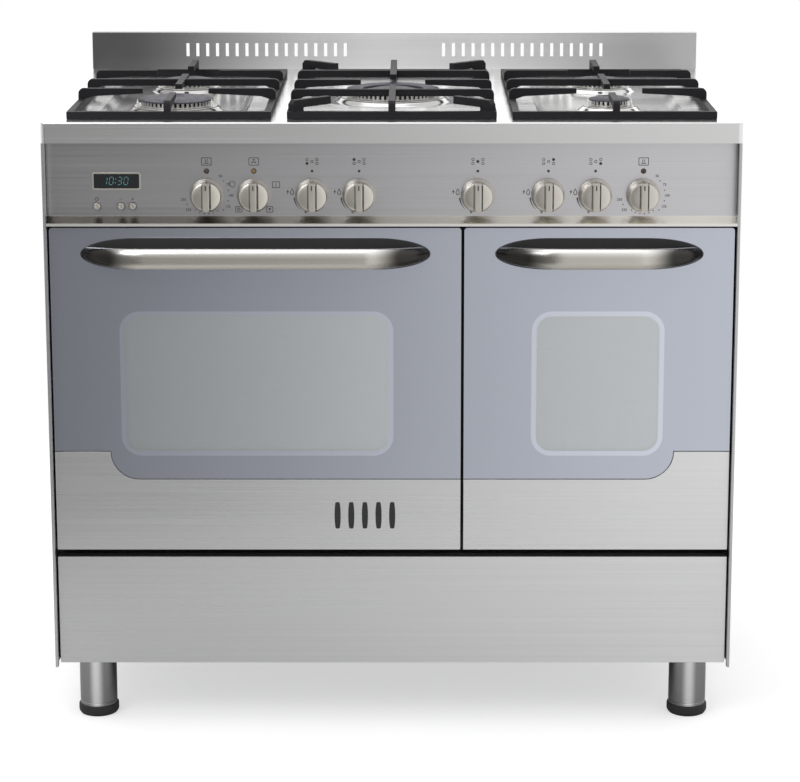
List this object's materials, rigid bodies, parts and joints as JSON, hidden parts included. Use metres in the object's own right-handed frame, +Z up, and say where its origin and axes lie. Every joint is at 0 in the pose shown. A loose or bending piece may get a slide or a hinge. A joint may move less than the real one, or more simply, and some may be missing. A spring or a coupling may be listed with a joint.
{
  "type": "range cooker",
  "caption": "Freestanding dual-fuel range cooker: gas hob with cast pan supports over two side-by-side electric ovens with drop-down glass doors and a storage flap.",
  "frame": {"origin": "on the floor, at the bottom centre of the whole cooker's bounding box, handles included", "axes": "+X to the right seen from the front, +Y from the front to the back wall, +Z up"},
  "size_m": [0.9, 0.632, 0.8695],
  "materials": {
    "stainless": "horizontally brushed stainless steel",
    "inner_sheet": "plain zinc-coated steel sheet",
    "door_glass": "grey-tinted reflective toughened glass",
    "pane_glass": "clear toughened glass",
    "satin_nickel": "satin nickel plate",
    "chrome_plate": "bright chrome plate",
    "cast_iron": "black enamelled cast iron",
    "black_enamel": "semi-matt black enamel",
    "cavity_enamel": "dark grey easy-clean enamel",
    "burner_alloy": "plain cast alloy",
    "rail_alloy": "plain alloy",
    "element_sheath": "oxidised steel sheath",
    "mineral_wool": "mineral wool blanket",
    "seal_rubber": "woven heat-proof seal",
    "pad_rubber": "black moulded pad",
    "black_plastic": "matt black",
    "display_lens": "black display lens",
    "lamp_lens": "amber lamp lens",
    "ceramic": "white glazed ceramic",
    "lamp_glass": "frosted lamp glass"
  },
  "bodies": {
    "cooker": {"base_tray": "inner_sheet", "burner_caps": "black_enamel", "burner_cups": "burner_alloy", "clock_module": "black_plastic", "clock_window": "display_lens", "door_seals": "seal_rubber", "fan_cover": "cavity_enamel", "fan_motor": "inner_sheet", "fascia_panel": "stainless", "flame_spreaders": "burner_alloy", "foot_pads": "pad_rubber", "front_frame": "cavity_enamel", "gas_rail": "rail_alloy", "hinge_arms": "inner_sheet", "hob_top": "stainless", "ignition_electrodes": "ceramic", "indicator_lamps": "lamp_lens", "leg_tubes": "chrome_plate", "main_oven_cavity": "cavity_enamel", "oven_elements": "element_sheath", "oven_insulation": "mineral_wool", "oven_lamps": "lamp_glass", "oven_shelves": "chrome_plate", "oven_switches": "black_plastic", "panel_screws": "chrome_plate", "rear_panel": "inner_sheet", "shelf_runners": "chrome_plate", "side_oven_cavity": "cavity_enamel", "side_panel_left": "stainless", "side_panel_right": "stainless", "splashback": "stainless", "terminal_box": "black_plastic"},
    "main_door": {"main_door_frame": "black_enamel", "main_door_glass": "door_glass", "main_door_cover": "stainless", "main_door_handle": "satin_nickel", "main_door_handle_plate": "black_plastic", "main_door_inner_glass": "pane_glass"},
    "side_door": {"side_door_frame": "black_enamel", "side_door_glass": "door_glass", "side_door_cover": "stainless", "side_door_handle": "satin_nickel", "side_door_handle_plate": "black_plastic", "side_door_inner_glass": "pane_glass"},
    "storage_flap": {"storage_flap": "stainless"},
    "knob_main_thermostat": {"knob_main_thermostat": "satin_nickel"},
    "knob_main_selector": {"knob_main_selector": "satin_nickel"},
    "knob_tap_front_left": {"knob_tap_front_left": "satin_nickel"},
    "knob_tap_rear_left": {"knob_tap_rear_left": "satin_nickel"},
    "knob_tap_centre": {"knob_tap_centre": "satin_nickel"},
    "knob_tap_rear_right": {"knob_tap_rear_right": "satin_nickel"},
    "knob_tap_front_right": {"knob_tap_front_right": "satin_nickel"},
    "knob_side_thermostat": {"knob_side_thermostat": "satin_nickel"},
    "button_clock": {"button_clock": "satin_nickel"},
    "button_minus": {"button_minus": "satin_nickel"},
    "button_plus": {"button_plus": "satin_nickel"},
    "pan_support_left": {"pan_support_left": "cast_iron"},
    "pan_support_centre": {"pan_support_centre": "cast_iron"},
    "pan_support_right": {"pan_support_right": "cast_iron"},
    "fan": {"fan_impeller": "inner_sheet"}
  },
  "joints": [
    {"name": "main_door_hinge", "type": "hinge", "parent": "cooker", "child": "main_door", "pos_m": [-0.177, -0.257, 0.255], "axis": [1, 0, 0], "range_deg": [0, 90]},
    {"name": "side_door_hinge", "type": "hinge", "parent": "cooker", "child": "side_door", "pos_m": [0.26895, -0.257, 0.255], "axis": [1, 0, 0], "range_deg": [0, 90]},
    {"name": "storage_flap_hinge", "type": "hinge", "parent": "cooker", "child": "storage_flap", "pos_m": [0, -0.263, 0.0936], "axis": [1, 0, 0], "range_deg": [0, 90]},
    {"name": "main_thermostat_turn", "type": "hinge", "parent": "cooker", "child": "knob_main_thermostat", "pos_m": [-0.2394, -0.2739, 0.7175], "axis": [0, 1, 0], "range_deg": [0, 290]},
    {"name": "main_selector_turn", "type": "hinge", "parent": "cooker", "child": "knob_main_selector", "pos_m": [-0.1783, -0.2739, 0.7175], "axis": [0, 1, 0], "range_deg": [0, 315]},
    {"name": "tap_front_left_turn", "type": "hinge", "parent": "cooker", "child": "knob_tap_front_left", "pos_m": [-0.1031, -0.2739, 0.7175], "axis": [0, -1, 0], "range_deg": [0, 240]},
    {"name": "tap_rear_left_turn", "type": "hinge", "parent": "cooker", "child": "knob_tap_rear_left", "pos_m": [-0.0423, -0.2739, 0.7175], "axis": [0, -1, 0], "range_deg": [0, 240]},
    {"name": "tap_centre_turn", "type": "hinge", "parent": "cooker", "child": "knob_tap_centre", "pos_m": [0.1111, -0.2739, 0.7175], "axis": [0, -1, 0], "range_deg": [0, 240]},
    {"name": "tap_rear_right_turn", "type": "hinge", "parent": "cooker", "child": "knob_tap_rear_right", "pos_m": [0.2023, -0.2739, 0.7175], "axis": [0, -1, 0], "range_deg": [0, 240]},
    {"name": "tap_front_right_turn", "type": "hinge", "parent": "cooker", "child": "knob_tap_front_right", "pos_m": [0.2632, -0.2739, 0.7175], "axis": [0, -1, 0], "range_deg": [0, 240]},
    {"name": "side_thermostat_turn", "type": "hinge", "parent": "cooker", "child": "knob_side_thermostat", "pos_m": [0.3251, -0.2739, 0.7175], "axis": [0, 1, 0], "range_deg": [0, 290]},
    {"name": "button_clock_press", "type": "slide", "parent": "cooker", "child": "button_clock", "axis": [0, 1, 0], "range_m": [0, 0.002], "stiffness_N_per_m": 600},
    {"name": "button_minus_press", "type": "slide", "parent": "cooker", "child": "button_minus", "axis": [0, 1, 0], "range_m": [0, 0.002], "stiffness_N_per_m": 600},
    {"name": "button_plus_press", "type": "slide", "parent": "cooker", "child": "button_plus", "axis": [0, 1, 0], "range_m": [0, 0.002], "stiffness_N_per_m": 600},
    {"name": "pan_support_left_lift", "type": "slide", "parent": "cooker", "child": "pan_support_left", "axis": [0, 0, 1], "range_m": [0, 0.06]},
    {"name": "pan_support_centre_lift", "type": "slide", "parent": "cooker", "child": "pan_support_centre", "axis": [0, 0, 1], "range_m": [0, 0.06]},
    {"name": "pan_support_right_lift", "type": "slide", "parent": "cooker", "child": "pan_support_right", "axis": [0, 0, 1], "range_m": [0, 0.06]},
    {"name": "fan_spin", "type": "hinge", "parent": "cooker", "child": "fan", "pos_m": [-0.177, 0.155, 0.4655], "axis": [0, 1, 0], "continuous": true}
  ]
}
